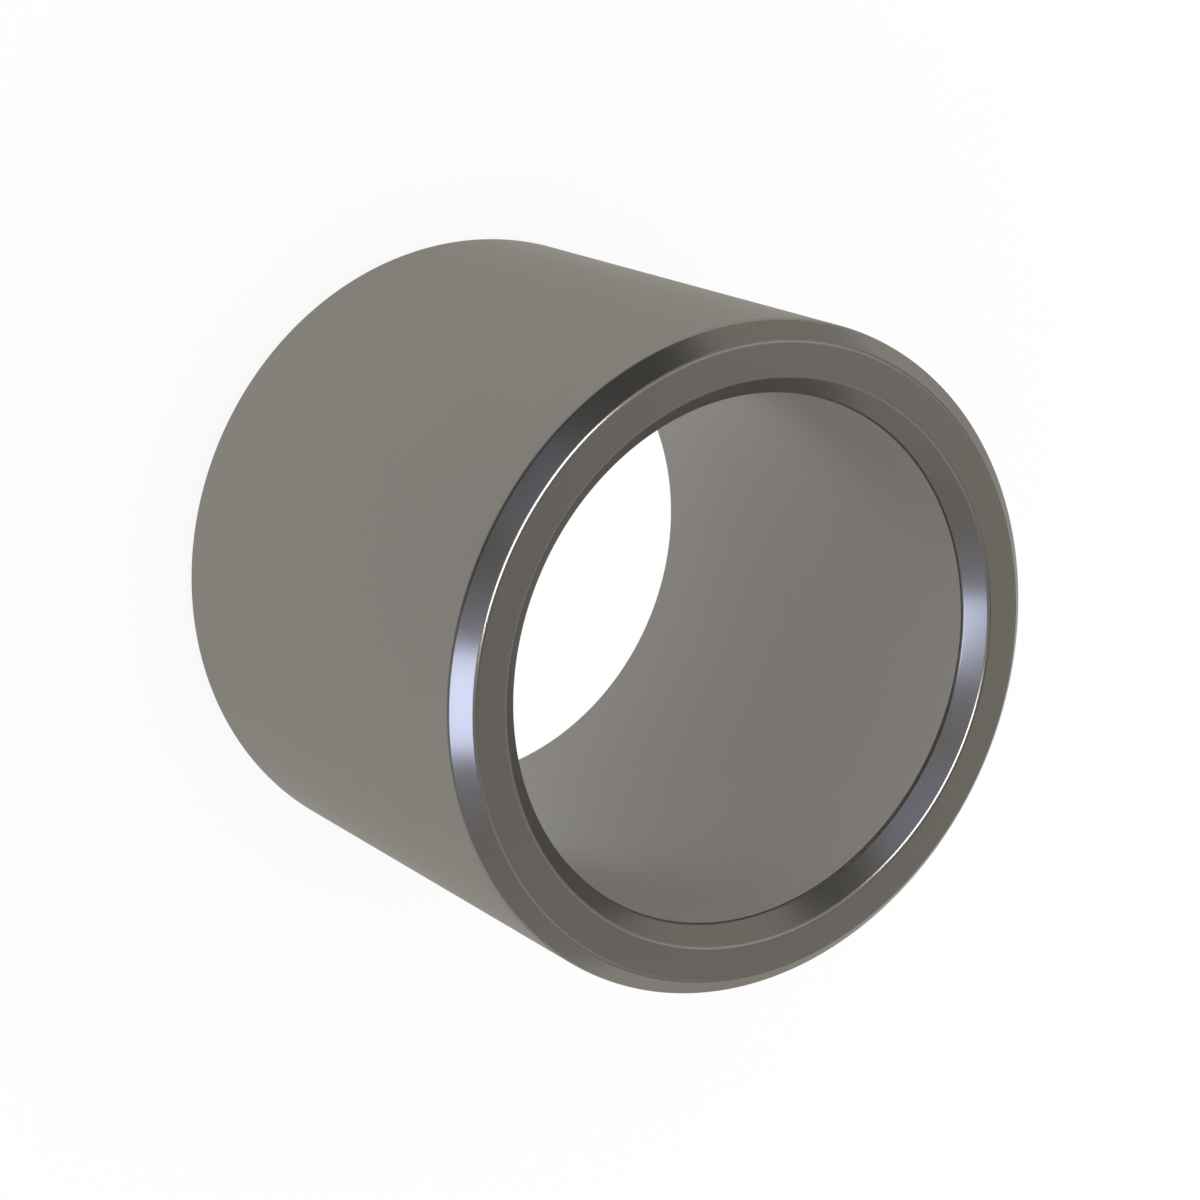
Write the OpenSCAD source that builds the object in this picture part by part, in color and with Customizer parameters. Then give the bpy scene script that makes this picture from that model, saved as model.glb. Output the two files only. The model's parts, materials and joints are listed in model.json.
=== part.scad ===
// Plain cylindrical sleeve bushing, turned and ground from one piece of steel.
// It stands on one end face, with its axis on +Z and the origin at the middle of that face.

/* [Sleeve] */
// Diameter of the bore, which runs on the pin
bore_d = 55; // [20:0.5:150]
// Thickness of the wall between the bore and the outside, which is pressed into the housing
wall = 7.5; // [6:0.25:25]
// Length over the two end faces
sleeve_length = 59; // [12:0.5:150]

/* [Chamfers] */
// Radial width of the chamfer round the outside of each end
outer_chamfer = 1.9; // [0.5:0.1:2.5]
// Radial width of the chamfer that leads into the bore at each end
inner_chamfer = 2; // [0.5:0.1:2.5]
// Angle between each chamfer and the axis
chamfer_angle = 45; // [30:1:60]

/* [Edges] */
// Radius that blunts the corners beside each chamfer
edge_r = 0.6; // [0.1:0.05:0.6]

/* [Hidden] */
// Sides of the sleeve, and straight steps in the arc of one blunted corner
round_fn = 180;
edge_steps = 4;
bore_r = bore_d / 2;
outside_r = bore_r + wall;
// How far each chamfer runs along the axis
outer_chamfer_depth = outer_chamfer / tan(chamfer_angle);
inner_chamfer_depth = inner_chamfer / tan(chamfer_angle);

// Sharp corners of the wall's section, as radius and height, counter-clockwise from the foot of the bore
section_corners = [
    [bore_r, inner_chamfer_depth],
    [bore_r + inner_chamfer, 0],
    [outside_r - outer_chamfer, 0],
    [outside_r, outer_chamfer_depth],
    [outside_r, sleeve_length - outer_chamfer_depth],
    [outside_r - outer_chamfer, sleeve_length],
    [bore_r + inner_chamfer, sleeve_length],
    [bore_r, sleeve_length - inner_chamfer_depth],
];
corner_count = len(section_corners);

function unit(v) = v / norm(v);

// Points of the arc that blunts a corner and touches the straight sides before and after it
function blunted(before, corner, after, r) =
    let (
        to_before = unit(before - corner),
        to_after = unit(after - corner),
        half_angle = acos(to_before * to_after) / 2,
        centre = corner + unit(to_before + to_after) * r / sin(half_angle),
        first = corner + to_before * r / tan(half_angle) - centre,
        first_angle = atan2(first[1], first[0]),
        turn = 180 - 2 * half_angle
    )
    [for (i = [0:edge_steps])
        let (a = first_angle + turn * i / edge_steps)
        centre + r * [cos(a), sin(a)]];

// Section of the wall with every corner blunted
module wall_section() {
    polygon([for (i = [0:corner_count - 1])
        each blunted(
            section_corners[(i + corner_count - 1) % corner_count],
            section_corners[i],
            section_corners[(i + 1) % corner_count],
            edge_r
        )]);
}

module bushing() {
    color("#827F7A")
        rotate_extrude($fn = round_fn)
            wall_section();
}

bushing();
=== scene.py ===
"""Plain steel sleeve bushing, standing on its end in a small pale studio."""

import json
import math
from typing import NamedTuple

import bmesh
import bpy
from mathutils import Matrix, Quaternion, Vector


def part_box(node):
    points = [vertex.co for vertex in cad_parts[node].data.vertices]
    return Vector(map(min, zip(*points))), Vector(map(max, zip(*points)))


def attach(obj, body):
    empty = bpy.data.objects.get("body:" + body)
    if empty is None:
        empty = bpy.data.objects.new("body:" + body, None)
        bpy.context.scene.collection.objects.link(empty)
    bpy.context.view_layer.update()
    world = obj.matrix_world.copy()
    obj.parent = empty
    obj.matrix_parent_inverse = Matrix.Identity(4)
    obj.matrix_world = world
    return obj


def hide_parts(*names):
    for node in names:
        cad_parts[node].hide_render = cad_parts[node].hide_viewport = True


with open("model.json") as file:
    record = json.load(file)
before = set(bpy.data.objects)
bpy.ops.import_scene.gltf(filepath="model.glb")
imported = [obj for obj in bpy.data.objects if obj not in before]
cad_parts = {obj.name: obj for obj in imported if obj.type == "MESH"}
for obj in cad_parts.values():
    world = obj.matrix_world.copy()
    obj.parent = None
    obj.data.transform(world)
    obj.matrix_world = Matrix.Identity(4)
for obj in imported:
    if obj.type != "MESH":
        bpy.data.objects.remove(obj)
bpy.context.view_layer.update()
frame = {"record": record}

bl_info = {
    "name": "Sleeve bushing",
    "version": (1, 0, 0),
    "blender": (4, 5, 0),
    "location": "3D View > Sidebar > Bushing",
    "description": "Builds a plain steel sleeve bushing and the studio that shows it",
    "category": "Object",
}

MM = 0.001
PIECE = "bushing_sleeve"
CAD_NODE = "bushing"
MOUNTS = {mount["name"]: mount for mount in frame["record"]["mounts"]}
BORE_RADIUS = MOUNTS["bore"]["dims"]["r_mm"] * MM
OUTSIDE_RADIUS = MOUNTS["outside"]["dims"]["r_mm"] * MM
SLEEVE_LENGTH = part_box(CAD_NODE)[1].z

# Points nearer to each other than this are one point
SAME_PLACE = 0.01 * MM
# Half the turn of a corner between a straight side and a chamfer of 45 degrees
HALF_TURN = math.radians(22.5)
# Upright share of a face's normal, over which it is an end face, and under which a straight wall
FLAT_END = 0.999
STRAIGHT_WALL = 0.001
# Finishes of the faces, in the order of the sleeve's materials. The blunted corners go with their chamfer.
OUTSIDE, BORE, END_FACE, OUTER_CHAMFER, INNER_CHAMFER = range(5)

# How far the scratches shift the colour, as a share of it, and the roughness
TONE_SHIFT = 0.025
GLOSS_SHIFT = 0.015

# Painted shade on the white board, which only the steel shows. Its camera side is darker, along Y, and round
# the foot of the bore and in a spot behind the sleeve, a painted shadow, it is a little dim. The shares are
# of white, and the lengths are in metres.
NEAR_SHADE_SHARE = 0.1
NEAR_SHADE_FADE = (-0.02, -0.3)
FOOT_SHADE_SHARE = 0.85
# Painted shadow of the sleeve on the board behind it, which only the steel shows
SHADOW_SPOT_SHARE = 0.8
SHADOW_SPOT_FADE = (0.03, 0.12)
SHADOW_SPOT_MIDDLE = (0, 0.08, 0)
# Shares of the bore's radius: where the painted shade at the foot of the bore starts, and where the glow
# inside the bore starts to fade
FOOT_SHADE_START = 0.5
GLOW_START = 0.9
WHITE = (1, 1, 1, 1)


class Patch(NamedTuple):
    """A round soft-edged patch of the room, with a colour of StudioSettings. Its angles are in degrees."""

    colour: str
    azimuth: float
    elevation: float
    full_radius: float
    fade_radius: float


# Later patches cover earlier ones
PATCHES = (
    Patch("near_room", -90, 30, 64, 110),
    Patch("left_wall", 165, 20, 14, 34),
    Patch("window_surround", -48, 30, 22, 35),
    Patch("pale_wall", 97, 42, 6, 22),
    Patch("dim_ceiling", 90, 64, 7, 16),
    Patch("bright_ceiling", 138, 52, 8, 25),
    Patch("pale_ceiling", 42, 50, 8, 24),
    Patch("cool_wall", -116, 44, 4, 20),
    Patch("shaded_wall", -135, 12, 14, 25),
    Patch("shaded_wall", -112, 12, 14, 25),
    Patch("shaded_wall", -90, 12, 14, 26),
    Patch("dark_wall", -152, 19, 9, 25),
)


class SoftLight(NamedTuple):
    """A rectangular soft light that faces the sleeve, its height along upright. Its angles are in degrees."""

    name: str
    azimuth: float
    elevation: float
    upright: tuple
    distance: float
    width: float
    height: float


WINDOW = SoftLight("window_light", -48, 31.5, (0, 0, 1), distance=0.8, width=0.34, height=0.27)
OVERHEAD = SoftLight("overhead_light", -118, 71.5, (0, 1, 0), distance=0.8, width=0.54, height=0.22)


def linear(hex_colour):
    """An sRGB hex colour as linear red, green and blue."""
    channels = [int(hex_colour[i:i + 2], 16) / 255 for i in (0, 2, 4)]
    return tuple(c / 12.92 if c <= 0.04045 else ((c + 0.055) / 1.055) ** 2.4 for c in channels)


def direction(azimuth, elevation):
    """Unit vector at an azimuth round +Z from +X and an elevation above the floor, both in radians."""
    level = math.cos(elevation)
    return Vector((level * math.cos(azimuth), level * math.sin(azimuth), math.sin(elevation)))


def add_node(tree, kind, inputs=None, **settings):
    """Adds one node. settings are its properties, and inputs its sockets, each linked or given a value."""
    node = tree.nodes.new(kind)
    for name, value in settings.items():
        setattr(node, name, value)
    for key, value in (inputs or {}).items():
        if isinstance(value, bpy.types.NodeSocket):
            tree.links.new(value, node.inputs[key])
        else:
            node.inputs[key].default_value = value
    return node


class SleeveSettings(bpy.types.PropertyGroup):
    """Sizes of the sleeve, and steps of its mesh"""

    bore_radius: bpy.props.FloatProperty(
        name="Bore radius", description="Radius of the straight bore",
        default=BORE_RADIUS, min=0.005, precision=5, unit="LENGTH", subtype="DISTANCE",
    )
    outside_radius: bpy.props.FloatProperty(
        name="Outside radius", description="Radius of the ground outside",
        default=OUTSIDE_RADIUS, min=0.008, precision=5, unit="LENGTH", subtype="DISTANCE",
    )
    length: bpy.props.FloatProperty(
        name="Length", description="Length over the two end faces",
        default=SLEEVE_LENGTH, min=0.01, precision=5, unit="LENGTH", subtype="DISTANCE",
    )
    outer_chamfer: bpy.props.FloatProperty(
        name="Outer chamfer", description="Width of the 45-degree chamfer on the outside, along the radius",
        default=1.9 * MM, min=0.0005, precision=5, unit="LENGTH", subtype="DISTANCE",
    )
    inner_chamfer: bpy.props.FloatProperty(
        name="Inner chamfer", description="Width of the 45-degree chamfer in the bore, along the radius",
        default=2.0 * MM, min=0.0005, precision=5, unit="LENGTH", subtype="DISTANCE",
    )
    edge_radius: bpy.props.FloatProperty(
        name="Edge radius", description="Radius that blunts the corners beside each chamfer",
        default=0.6 * MM, min=0.0001, precision=5, unit="LENGTH", subtype="DISTANCE",
    )
    sides: bpy.props.IntProperty(
        name="Sides", description="Steps of the mesh round the axis", default=288, min=32,
    )
    edge_steps: bpy.props.IntProperty(
        name="Edge steps", description="Steps of the mesh round each blunted corner", default=4, min=1,
    )


class FinishSettings(bpy.types.PropertyGroup):
    """Colours and surfaces that the steel has where it was ground, honed, faced, turned and bored"""

    ground_colour: bpy.props.FloatVectorProperty(
        name="Ground colour", description="Colour of the ground outside",
        default=linear("8C8983"), size=3, min=0, max=1, subtype="COLOR",
    )
    ground_sheen: bpy.props.FloatVectorProperty(
        name="Ground sheen", description="Tint of the ground outside where it is seen at a low angle",
        default=linear("D5D1CB"), size=3, min=0, max=1, subtype="COLOR",
    )
    ground_roughness: bpy.props.FloatProperty(
        name="Ground roughness", description="Roughness of the ground outside",
        default=0.42, min=0, max=1, subtype="FACTOR",
    )
    ground_metallic: bpy.props.FloatProperty(
        name="Ground metallic", description="How far the ground outside mirrors light and doesn't scatter it",
        default=0.9, min=0, max=1, subtype="FACTOR",
    )
    honed_colour: bpy.props.FloatVectorProperty(
        name="Honed colour", description="Colour of the honed bore",
        default=linear("9B9790"), size=3, min=0, max=1, subtype="COLOR",
    )
    honed_sheen: bpy.props.FloatVectorProperty(
        name="Honed sheen", description="Tint of the honed bore where it is seen at a low angle",
        default=linear("FFFFFF"), size=3, min=0, max=1, subtype="COLOR",
    )
    honed_roughness: bpy.props.FloatProperty(
        name="Honed roughness", description="Roughness of the honed bore",
        default=0.40, min=0, max=1, subtype="FACTOR",
    )
    honed_metallic: bpy.props.FloatProperty(
        name="Honed metallic", description="How far the honed bore mirrors light and doesn't scatter it",
        default=0.2, min=0, max=1, subtype="FACTOR",
    )
    faced_colour: bpy.props.FloatVectorProperty(
        name="Faced colour", description="Colour of the faced ends",
        default=linear("84817C"), size=3, min=0, max=1, subtype="COLOR",
    )
    faced_sheen: bpy.props.FloatVectorProperty(
        name="Faced sheen", description="Tint of the faced ends where they are seen at a low angle",
        default=linear("E7E3DC"), size=3, min=0, max=1, subtype="COLOR",
    )
    faced_roughness: bpy.props.FloatProperty(
        name="Faced roughness", description="Roughness of the faced ends",
        default=0.30, min=0, max=1, subtype="FACTOR",
    )
    faced_metallic: bpy.props.FloatProperty(
        name="Faced metallic", description="How far the faced ends mirror light and don't scatter it",
        default=0.9, min=0, max=1, subtype="FACTOR",
    )
    chamfer_colour: bpy.props.FloatVectorProperty(
        name="Chamfer colour", description="Colour of the chamfers and blunted corners",
        default=linear("85827D"), size=3, min=0, max=1, subtype="COLOR",
    )
    turned_sheen: bpy.props.FloatVectorProperty(
        name="Turned sheen", description="Tint of the outer chamfers where they are seen at a low angle",
        default=linear("BFBBB5"), size=3, min=0, max=1, subtype="COLOR",
    )
    bored_sheen: bpy.props.FloatVectorProperty(
        name="Bored sheen", description="Tint of the inner chamfers where they are seen at a low angle",
        default=linear("FFFFFF"), size=3, min=0, max=1, subtype="COLOR",
    )
    chamfer_roughness: bpy.props.FloatProperty(
        name="Chamfer roughness", description="Roughness of the chamfers and blunted corners",
        default=0.20, min=0, max=1, subtype="FACTOR",
    )
    chamfer_metallic: bpy.props.FloatProperty(
        name="Chamfer metallic", description="How far the chamfers mirror light and don't scatter it",
        default=0.88, min=0, max=1, subtype="FACTOR",
    )
    mark_depth: bpy.props.FloatProperty(
        name="Mark depth", description="Depth of the scratches that the tools and stones leave",
        default=0.00012 * MM, min=0, precision=8, unit="LENGTH", subtype="DISTANCE",
    )
    # Real scratches are 0.02 to 0.1 mm wide, too fine to show in the render, so they are drawn this coarse
    grinding_pitch: bpy.props.FloatProperty(
        name="Grinding pitch", description="Width of one scratch of the ground outside",
        default=0.35 * MM, min=0.00005, precision=5, unit="LENGTH", subtype="DISTANCE",
    )
    grinding_run: bpy.props.FloatProperty(
        name="Grinding run", description="Length of one scratch of the ground outside",
        default=12 * MM, min=0.001, precision=5, unit="LENGTH", subtype="DISTANCE",
    )
    turning_pitch: bpy.props.FloatProperty(
        name="Turning pitch", description="Width of one tool mark of the end faces and chamfers",
        default=0.30 * MM, min=0.00005, precision=5, unit="LENGTH", subtype="DISTANCE",
    )
    turning_run: bpy.props.FloatProperty(
        name="Turning run", description="Length of one tool mark of the end faces and chamfers",
        default=25 * MM, min=0.001, precision=5, unit="LENGTH", subtype="DISTANCE",
    )
    honing_pitch: bpy.props.FloatProperty(
        name="Honing pitch", description="Width of one scratch of the honed bore",
        default=0.45 * MM, min=0.00005, precision=5, unit="LENGTH", subtype="DISTANCE",
    )
    honing_rise: bpy.props.FloatProperty(
        name="Honing rise", description="How far one scratch of the honed bore climbs",
        default=25 * MM, min=0.001, precision=5, unit="LENGTH", subtype="DISTANCE",
    )
    honing_angle: bpy.props.FloatProperty(
        name="Honing angle", description="Slope of the crossed honing scratches against the end faces",
        default=math.radians(22), min=0.1, max=1.4, subtype="ANGLE",
    )


class StudioSettings(bpy.types.PropertyGroup):
    """Camera, floor, room and soft lights"""

    camera_view: bpy.props.FloatProperty(
        name="Camera view", description="Angle of view across the picture",
        default=math.radians(20), min=0.05, max=2, subtype="ANGLE",
    )
    camera_distance: bpy.props.FloatProperty(
        name="Camera distance", description="From the middle of the sleeve to the camera",
        default=0.365, min=0.05, unit="LENGTH", subtype="DISTANCE",
    )
    camera_azimuth: bpy.props.FloatProperty(
        name="Camera azimuth", description="Side that the camera stands on, round the sleeve from +X",
        default=math.radians(-90), subtype="ANGLE",
    )
    camera_elevation: bpy.props.FloatProperty(
        name="Camera elevation", description="Height of the camera's line of sight above the floor",
        default=math.radians(54.17), min=0, max=math.pi / 2, subtype="ANGLE",
    )
    camera_roll: bpy.props.FloatProperty(
        name="Camera roll", description="Turn about the line of sight, which lays the sleeve on its side",
        default=math.radians(112.85), subtype="ANGLE",
    )
    floor_size: bpy.props.FloatProperty(
        name="Floor size", description="Width and depth of the floor",
        default=4.0, min=0.2, unit="LENGTH", subtype="DISTANCE",
    )
    shadow_share: bpy.props.FloatProperty(
        name="Shadow share", description="How much of the floor's white a full shadow takes away",
        default=0.12, min=0, max=1, subtype="FACTOR",
    )
    room: bpy.props.FloatVectorProperty(
        name="Room", description="Grey of the room above the floor, as the steel shows it",
        default=linear("BDB9B8"), size=3, min=0, max=1, subtype="COLOR",
    )
    near_room: bpy.props.FloatVectorProperty(
        name="Near room", description="Darker side of the room, behind the camera, as the steel shows it",
        default=linear("AAA8A9"), size=3, min=0, max=1, subtype="COLOR",
    )
    left_wall: bpy.props.FloatVectorProperty(
        name="Left wall", description="Wall on the left, as the steel shows it",
        default=linear("C8C5C0"), size=3, min=0, max=1, subtype="COLOR",
    )
    window_surround: bpy.props.FloatVectorProperty(
        name="Window surround", description="Bluish wall round the soft light, as the steel shows it",
        default=linear("B4B6C6"), size=3, min=0, max=1, subtype="COLOR",
    )
    pale_wall: bpy.props.FloatVectorProperty(
        name="Pale wall", description="Paler wall across from the camera, as the steel shows it",
        default=linear("CFCCC5"), size=3, min=0, max=1, subtype="COLOR",
    )
    dim_ceiling: bpy.props.FloatVectorProperty(
        name="Dim ceiling", description="Dimmer ceiling across from the camera, as the steel shows it",
        default=linear("665F5C"), size=3, min=0, max=1, subtype="COLOR",
    )
    bright_ceiling: bpy.props.FloatVectorProperty(
        name="Bright ceiling", description="Bright ceiling on the left, as the steel shows it",
        default=linear("FFFFFF"), size=3, min=0, max=1, subtype="COLOR",
    )
    pale_ceiling: bpy.props.FloatVectorProperty(
        name="Pale ceiling", description="Pale ceiling on the right, as the steel shows it",
        default=linear("DEDCDA"), size=3, min=0, max=1, subtype="COLOR",
    )
    cool_wall: bpy.props.FloatVectorProperty(
        name="Cool wall", description="Bluish wall beside the camera, as the steel shows it",
        default=linear("B4BCDE"), size=3, min=0, max=1, subtype="COLOR",
    )
    shaded_wall: bpy.props.FloatVectorProperty(
        name="Shaded wall", description="Shaded wall under the camera, as the steel shows it",
        default=linear("303030"), size=3, min=0, max=1, subtype="COLOR",
    )
    dark_wall: bpy.props.FloatVectorProperty(
        name="Dark wall", description="Dark wall to the left of the camera, as the steel shows it",
        default=linear("383838"), size=3, min=0, max=1, subtype="COLOR",
    )
    window_light: bpy.props.FloatVectorProperty(
        name="Window light", description="Colour of the bluish soft light",
        default=linear("CCD8FF"), size=3, min=0, max=1, subtype="COLOR",
    )
    window_strength: bpy.props.FloatProperty(
        name="Window strength", description="Brightness of the bluish soft light, where 1 is white",
        default=4.85, min=0,
    )
    overhead_light: bpy.props.FloatVectorProperty(
        name="Overhead light", description="Colour of the soft light overhead",
        default=linear("FFFFFF"), size=3, min=0, max=1, subtype="COLOR",
    )
    overhead_strength: bpy.props.FloatProperty(
        name="Overhead strength", description="Brightness of the soft light overhead, where 1 is white",
        default=12.5, min=0,
    )


def is_ring_edge(edge):
    """True if an edge runs round the axis, along a corner of the section."""
    a, b = (vertex.co for vertex in edge.verts)
    return abs(a.z - b.z) < SAME_PLACE and abs(a.xy.length - b.xy.length) < SAME_PLACE


def sleeve_mesh(sleeve):
    """The wall's section spun round +Z, with its corners blunted."""
    bore, outside, length = sleeve.bore_radius, sleeve.outside_radius, sleeve.length
    inner, outer = sleeve.inner_chamfer, sleeve.outer_chamfer
    section = [
        (bore, inner),
        (bore + inner, 0),
        (outside - outer, 0),
        (outside, outer),
        (outside, length - outer),
        (outside - outer, length),
        (bore + inner, length),
        (bore, length - inner),
    ]
    shape = bmesh.new()
    corners = [shape.verts.new((radius, 0, height)) for radius, height in section]
    edges = [shape.edges.new((a, b)) for a, b in zip(corners, corners[1:] + corners[:1])]
    bmesh.ops.spin(
        shape, geom=corners + edges, cent=(0, 0, 0), axis=(0, 0, 1), angle=2 * math.pi,
        steps=sleeve.sides, use_merge=True, use_duplicate=False,
    )
    bmesh.ops.remove_doubles(shape, verts=shape.verts, dist=SAME_PLACE)
    # A corner loses this much of each side to its arc
    touch = sleeve.edge_radius * math.tan(HALF_TURN)
    bmesh.ops.bevel(
        shape, geom=[edge for edge in shape.edges if is_ring_edge(edge)], offset=touch, offset_type="OFFSET",
        segments=sleeve.edge_steps, profile=0.5, affect="EDGES", material=-1, clamp_overlap=True,
    )
    bmesh.ops.recalc_face_normals(shape, faces=shape.faces)
    return shape


def finish_of(face):
    """Which of the sleeve's five finishes a face has."""
    upright = abs(face.normal.z)
    if upright > FLAT_END:
        return END_FACE
    faces_out = face.normal.dot(face.calc_center_median() * Vector((1, 1, 0))) > 0
    if upright > STRAIGHT_WALL:
        return OUTER_CHAMFER if faces_out else INNER_CHAMFER
    return OUTSIDE if faces_out else BORE


def steel_material(name, colour, sheen, metallic, roughness, marks, depth):
    """Bare steel. marks gives its scratches from 0 to 1, which shift its tone, roughness and surface."""
    material = bpy.data.materials.new(name)
    material.use_nodes = True
    tree = material.node_tree
    tree.nodes.clear()
    scratches = marks(tree)
    low, high = (tuple(channel * share for channel in colour) for share in (1 - TONE_SHIFT, 1 + TONE_SHIFT))
    tone = add_node(tree, "ShaderNodeMix", {0: scratches, 6: (*low, 1), 7: (*high, 1)}, data_type="RGBA")
    gloss = add_node(tree, "ShaderNodeMapRange", {
        "Value": scratches, "To Min": roughness + GLOSS_SHIFT, "To Max": roughness - GLOSS_SHIFT,
    })
    relief = add_node(tree, "ShaderNodeBump", {"Strength": 1.0, "Distance": depth, "Height": scratches})
    shader = add_node(tree, "ShaderNodeBsdfPrincipled", {
        "Base Color": tone.outputs[2], "Metallic": metallic, "Roughness": gloss.outputs[0],
        "Specular Tint": (*sheen, 1), "Normal": relief.outputs[0],
    })
    add_node(tree, "ShaderNodeOutputMaterial", {"Surface": shader.outputs[0]})
    return material


def ring_marks(tree, pitch, run):
    """Scratches that run round the axis: noise that is fine along the section and long round the part."""
    place = add_node(tree, "ShaderNodeTexCoord").outputs["Object"]
    axes = add_node(tree, "ShaderNodeSeparateXYZ", {0: place}).outputs
    level = add_node(tree, "ShaderNodeCombineXYZ", {"X": axes["X"], "Y": axes["Y"]}).outputs[0]
    radius = add_node(tree, "ShaderNodeVectorMath", {0: level}, operation="LENGTH").outputs["Value"]
    across, along, round_x, round_y = (
        add_node(tree, "ShaderNodeMath", {0: value, 1: 1 / size}, operation="MULTIPLY").outputs[0]
        for value, size in ((radius, pitch), (axes["Z"], pitch), (axes["X"], run), (axes["Y"], run))
    )
    section = add_node(tree, "ShaderNodeCombineXYZ", {"X": across, "Y": along, "Z": round_x}).outputs[0]
    return add_node(
        tree, "ShaderNodeTexNoise", {"Vector": section, "W": round_y, "Scale": 1.0, "Detail": 2.0},
        noise_dimensions="4D",
    ).outputs[0]


def crossed_marks(tree, pitch, rise, slope, radius):
    """Scratches that climb the bore both ways: noise in a frame that turns with the height."""
    place = add_node(tree, "ShaderNodeTexCoord").outputs["Object"]
    height = add_node(tree, "ShaderNodeSeparateXYZ", {0: place}).outputs["Z"]
    # How fine the noise is round the bore, so that a scratch is one pitch wide across its own slope
    fineness = math.tan(slope) / (pitch * math.cos(slope))
    ways = []
    for way in (1, -1):
        turn = add_node(
            tree, "ShaderNodeMath", {0: height, 1: way / (radius * math.tan(slope))}, operation="MULTIPLY",
        ).outputs[0]
        turned = add_node(
            tree, "ShaderNodeVectorRotate", {"Vector": place, "Angle": turn}, rotation_type="Z_AXIS",
        ).outputs[0]
        scaled = add_node(
            tree, "ShaderNodeVectorMath", {0: turned, 1: (fineness, fineness, 1 / rise)},
            operation="MULTIPLY",
        ).outputs[0]
        ways.append(add_node(
            tree, "ShaderNodeTexNoise", {"Vector": scaled, "Scale": 1.0, "Detail": 2.0},
            noise_dimensions="3D",
        ).outputs[0])
    both = add_node(tree, "ShaderNodeMath", {0: ways[0], 1: ways[1]}, operation="ADD").outputs[0]
    return add_node(tree, "ShaderNodeMath", {0: both, 1: 0.5}, operation="MULTIPLY").outputs[0]


def ground_steel(finish):
    """Cylindrically ground steel: even satin, with hair-fine scratches round the part."""
    return steel_material(
        "ground_steel", finish.ground_colour, finish.ground_sheen,
        finish.ground_metallic, finish.ground_roughness,
        lambda tree: ring_marks(tree, finish.grinding_pitch, finish.grinding_run), finish.mark_depth,
    )


def honed_steel(finish, sleeve):
    """Honed steel: fine scratches that cross and scatter the light, so that the bore is matt."""
    return steel_material(
        "honed_steel", finish.honed_colour, finish.honed_sheen,
        finish.honed_metallic, finish.honed_roughness,
        lambda tree: crossed_marks(
            tree, finish.honing_pitch, finish.honing_rise, finish.honing_angle, sleeve.bore_radius,
        ),
        finish.mark_depth,
    )


def faced_steel(finish):
    """Faced steel: low satin, with rings that the tool left as it crossed the turning end."""
    return steel_material(
        "faced_steel", finish.faced_colour, finish.faced_sheen,
        finish.faced_metallic, finish.faced_roughness,
        lambda tree: ring_marks(tree, finish.turning_pitch, finish.turning_run), finish.mark_depth,
    )


def chamfer_steel(finish, name, sheen):
    """Finely turned or bored steel: the smoothest finish here, so that it mirrors the lights softly."""
    return steel_material(
        name, finish.chamfer_colour, sheen, finish.chamfer_metallic, finish.chamfer_roughness,
        lambda tree: ring_marks(tree, finish.turning_pitch, finish.turning_run), finish.mark_depth,
    )


class BUSHING_OT_add_sleeve(bpy.types.Operator):
    """Builds the steel sleeve in place of its plain solid"""

    bl_idname = "bushing.add_sleeve"
    bl_label = "Add sleeve"

    def execute(self, context):
        sleeve = context.scene.bushing_sleeve
        finish = context.scene.bushing_finish
        shape = sleeve_mesh(sleeve)
        for face in shape.faces:
            face.material_index = finish_of(face)
            face.smooth = True
        mesh = bpy.data.meshes.new(PIECE)
        shape.to_mesh(mesh)
        shape.free()
        steels = {
            OUTSIDE: ground_steel(finish),
            BORE: honed_steel(finish, sleeve),
            END_FACE: faced_steel(finish),
            OUTER_CHAMFER: chamfer_steel(finish, "turned_steel", finish.turned_sheen),
            INNER_CHAMFER: chamfer_steel(finish, "bored_steel", finish.bored_sheen),
        }
        for place in sorted(steels):
            mesh.materials.append(steels[place])
        piece = bpy.data.objects.new(PIECE, mesh)
        context.scene.collection.objects.link(piece)
        # Keeps the large faces flat, and lets only the blunted corners shade round
        weighted = piece.modifiers.new("flat_faces_stay_flat", "WEIGHTED_NORMAL")
        weighted.mode = "FACE_AREA"
        weighted.weight = 100
        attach(piece, "root")
        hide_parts(CAD_NODE)
        return {"FINISHED"}


def add_patch(tree, light, patch, colour):
    """Blends one patch of the room into the light that comes from each direction."""
    middle = direction(math.radians(patch.azimuth), math.radians(patch.elevation))
    towards = add_node(tree, "ShaderNodeTexCoord").outputs["Generated"]
    nearness = add_node(
        tree, "ShaderNodeVectorMath", {0: towards, 1: middle}, operation="DOT_PRODUCT",
    ).outputs["Value"]
    share = add_node(
        tree, "ShaderNodeMapRange",
        {
            "Value": nearness,
            "From Min": math.cos(math.radians(patch.fade_radius)),
            "From Max": math.cos(math.radians(patch.full_radius)),
        },
        interpolation_type="SMOOTHSTEP",
    ).outputs[0]
    return add_node(
        tree, "ShaderNodeMix", {0: share, 6: light, 7: (*colour, 1)}, data_type="RGBA",
    ).outputs[2]


def set_world(scene, studio):
    """A white room, whose grey walls only show in the steel."""
    world = bpy.data.worlds.new("room")
    scene.world = world
    world.use_nodes = True
    tree = world.node_tree
    tree.nodes.clear()
    room = add_node(tree, "ShaderNodeRGB")
    room.outputs[0].default_value = (*studio.room, 1)
    light = room.outputs[0]
    for patch in PATCHES:
        light = add_patch(tree, light, patch, getattr(studio, patch.colour))
    in_steel = add_node(tree, "ShaderNodeLightPath").outputs["Is Glossy Ray"]
    seen = add_node(tree, "ShaderNodeMix", {0: in_steel, 6: WHITE, 7: light}, data_type="RGBA").outputs[2]
    background = add_node(tree, "ShaderNodeBackground", {"Color": seen, "Strength": 1.0})
    add_node(tree, "ShaderNodeOutputWorld", {"Surface": background.outputs[0]})


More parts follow.
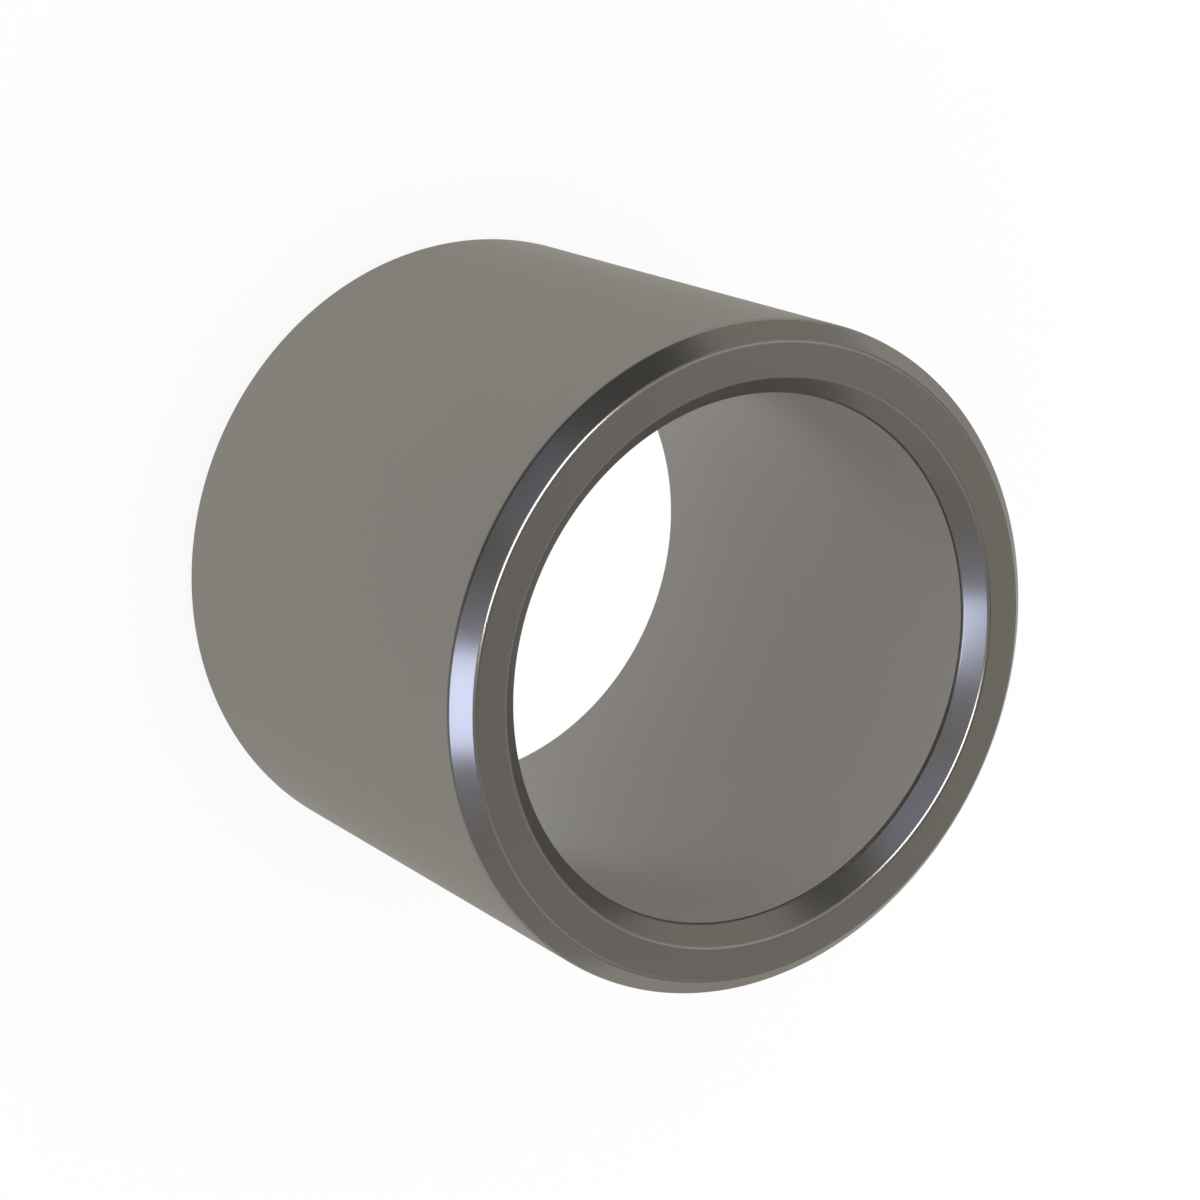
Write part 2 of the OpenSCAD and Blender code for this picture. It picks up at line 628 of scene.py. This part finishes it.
def floor_material(studio, sleeve):
    """White board that takes a soft shadow round the sleeve, glows like a light table inside the bore, and
    shows the steel painted shade.
    """
    material = bpy.data.materials.new("white_board")
    material.use_nodes = True
    tree = material.node_tree
    tree.nodes.clear()
    bore, outside = sleeve.bore_radius, sleeve.outside_radius
    path = add_node(tree, "ShaderNodeLightPath").outputs
    place = add_node(tree, "ShaderNodeTexCoord").outputs["Object"]
    distance = add_node(tree, "ShaderNodeVectorMath", {0: place}, operation="LENGTH").outputs["Value"]
    sideways = add_node(tree, "ShaderNodeSeparateXYZ", {0: place}).outputs["Y"]
    # Distance from the middle of the painted shadow behind the sleeve
    from_shadow_spot = add_node(
        tree, "ShaderNodeVectorMath", {0: place, 1: SHADOW_SPOT_MIDDLE}, operation="DISTANCE",
    ).outputs["Value"]
    # Soft steps, each from one value at the first distance to another at the second.
    # The shadow starts under the wall, because the board glows inside the bore.
    steps = {}
    for name, measure, (start, end), (first, last) in (
        ("shadow", distance, (bore, outside), (0.0, studio.shadow_share)),
        ("glow", distance, (GLOW_START * bore, bore), (1.0, 0.0)),
        # Painted shade: in the steel the board gets darker towards the camera
        ("near_side", sideways, NEAR_SHADE_FADE, (1.0, NEAR_SHADE_SHARE)),
        # Painted shade in the corner at the foot of the bore, as the steel shows it
        ("foot", distance, (FOOT_SHADE_START * bore, bore), (1.0, FOOT_SHADE_SHARE)),
        ("past_wall", distance, (bore, outside), (0.0, 1.0)),
        # Painted shadow behind the sleeve, as the steel shows it
        ("spot", from_shadow_spot, SHADOW_SPOT_FADE, (SHADOW_SPOT_SHARE, 1.0)),
    ):
        steps[name] = add_node(
            tree, "ShaderNodeMapRange",
            {"Value": measure, "From Min": start, "From Max": end, "To Min": first, "To Max": last},
            interpolation_type="SMOOTHSTEP",
        ).outputs[0]
    # Painted shade that the board shows the steel: the least of the near side, the foot of the bore and the
    # shadow spot
    painted_shade = add_node(
        tree, "ShaderNodeMath", {0: steps["foot"], 1: steps["past_wall"]}, operation="MAXIMUM",
    ).outputs[0]
    for darker in (steps["near_side"], steps["spot"]):
        painted_shade = add_node(tree, "ShaderNodeMath", {0: painted_shade, 1: darker}, operation="MINIMUM").outputs[0]
    # In the steel the board's glow takes the painted shade, and to every other ray it stays white
    strength = add_node(
        tree, "ShaderNodeMix", {0: path["Is Glossy Ray"], 2: 1.0, 3: painted_shade}, data_type="FLOAT",
    ).outputs[0]
    white = add_node(tree, "ShaderNodeEmission", {"Color": WHITE, "Strength": strength}).outputs[0]
    paint = add_node(tree, "ShaderNodeBsdfDiffuse", {"Color": WHITE}).outputs[0]
    shown = add_node(tree, "ShaderNodeMixShader", {0: steps["shadow"], 1: white, 2: paint}).outputs[0]
    seen = path["Is Camera Ray"]
    for also in (path["Is Glossy Ray"], path["Is Transmission Ray"], steps["glow"]):
        seen = add_node(tree, "ShaderNodeMath", {0: seen, 1: also}, operation="MAXIMUM").outputs[0]
    surface = add_node(tree, "ShaderNodeMixShader", {0: seen, 1: paint, 2: shown}).outputs[0]
    add_node(tree, "ShaderNodeOutputMaterial", {"Surface": surface})
    return material


def add_floor(scene, studio, sleeve):
    """The floor that the sleeve stands on."""
    shape = bmesh.new()
    bmesh.ops.create_grid(shape, x_segments=1, y_segments=1, size=studio.floor_size / 2)
    mesh = bpy.data.meshes.new("floor")
    shape.to_mesh(mesh)
    shape.free()
    mesh.materials.append(floor_material(studio, sleeve))
    floor = bpy.data.objects.new("floor", mesh)
    scene.collection.objects.link(floor)


def add_soft_light(scene, soft, middle, colour, strength):
    """A soft light that faces the middle of the sleeve. A strength of 1 is white."""
    lamp = bpy.data.lights.new(soft.name, "AREA")
    lamp.shape = "RECTANGLE"
    lamp.size = soft.width
    lamp.size_y = soft.height
    lamp.color = colour
    # A flat lamp's power is its brightness times pi times its area
    lamp.energy = strength * math.pi * soft.width * soft.height
    light = bpy.data.objects.new(soft.name, lamp)
    towards = direction(math.radians(soft.azimuth), math.radians(soft.elevation))
    light.location = middle + towards * soft.distance
    light.rotation_mode = "QUATERNION"
    level = Vector(soft.upright).cross(towards).normalized()
    light.rotation_quaternion = Matrix((level, towards.cross(level), towards)).transposed().to_quaternion()
    # Its mirror image in the steel is all it gives, and the white room lights everything evenly
    light.visible_camera = False
    light.visible_diffuse = False
    scene.collection.objects.link(light)


def add_camera(scene, studio, middle):
    """The camera, rolled so that the standing sleeve lies in the picture."""
    lens = bpy.data.cameras.new("camera")
    lens.angle = studio.camera_view
    camera = bpy.data.objects.new("camera", lens)
    towards = direction(studio.camera_azimuth, studio.camera_elevation)
    camera.location = middle + towards * studio.camera_distance
    camera.rotation_mode = "QUATERNION"
    level = (-towards).to_track_quat("-Z", "Y")
    camera.rotation_quaternion = level @ Quaternion((0, 0, 1), studio.camera_roll)
    scene.collection.objects.link(camera)
    scene.camera = camera


class BUSHING_OT_set_studio(bpy.types.Operator):
    """Sets the floor, the room, the soft lights and the camera round the sleeve"""

    bl_idname = "bushing.set_studio"
    bl_label = "Set studio"

    def execute(self, context):
        scene = context.scene
        studio = scene.bushing_studio
        middle = Vector((0, 0, scene.bushing_sleeve.length / 2))
        scene.view_settings.view_transform = "Standard"
        set_world(scene, studio)
        add_floor(scene, studio, scene.bushing_sleeve)
        add_soft_light(scene, WINDOW, middle, studio.window_light, studio.window_strength)
        add_soft_light(scene, OVERHEAD, middle, studio.overhead_light, studio.overhead_strength)
        add_camera(scene, studio, middle)
        return {"FINISHED"}


class BUSHING_PT_sidebar(bpy.types.Panel):
    """Lists the sizes, finishes and lights, and the operators that build from them"""

    bl_label = "Sleeve bushing"
    bl_space_type = "VIEW_3D"
    bl_region_type = "UI"
    bl_category = "Bushing"

    def draw(self, context):
        groups = (
            (context.scene.bushing_sleeve, BUSHING_OT_add_sleeve),
            (context.scene.bushing_finish, None),
            (context.scene.bushing_studio, BUSHING_OT_set_studio),
        )
        for group, operator in groups:
            box = self.layout.box()
            for name in type(group).__annotations__:
                box.prop(group, name)
            if operator:
                box.operator(operator.bl_idname)


CLASSES = (
    SleeveSettings,
    FinishSettings,
    StudioSettings,
    BUSHING_OT_add_sleeve,
    BUSHING_OT_set_studio,
    BUSHING_PT_sidebar,
)


def register():
    for cls in CLASSES:
        bpy.utils.register_class(cls)
    bpy.types.Scene.bushing_sleeve = bpy.props.PointerProperty(type=SleeveSettings)
    bpy.types.Scene.bushing_finish = bpy.props.PointerProperty(type=FinishSettings)
    bpy.types.Scene.bushing_studio = bpy.props.PointerProperty(type=StudioSettings)


def unregister():
    del bpy.types.Scene.bushing_studio
    del bpy.types.Scene.bushing_finish
    del bpy.types.Scene.bushing_sleeve
    for cls in reversed(CLASSES):
        bpy.utils.unregister_class(cls)


def main():
    """Builds the sleeve and its studio."""
    register()
    bpy.ops.bushing.add_sleeve()
    bpy.ops.bushing.set_studio()


if __name__ == "__main__":
    main()
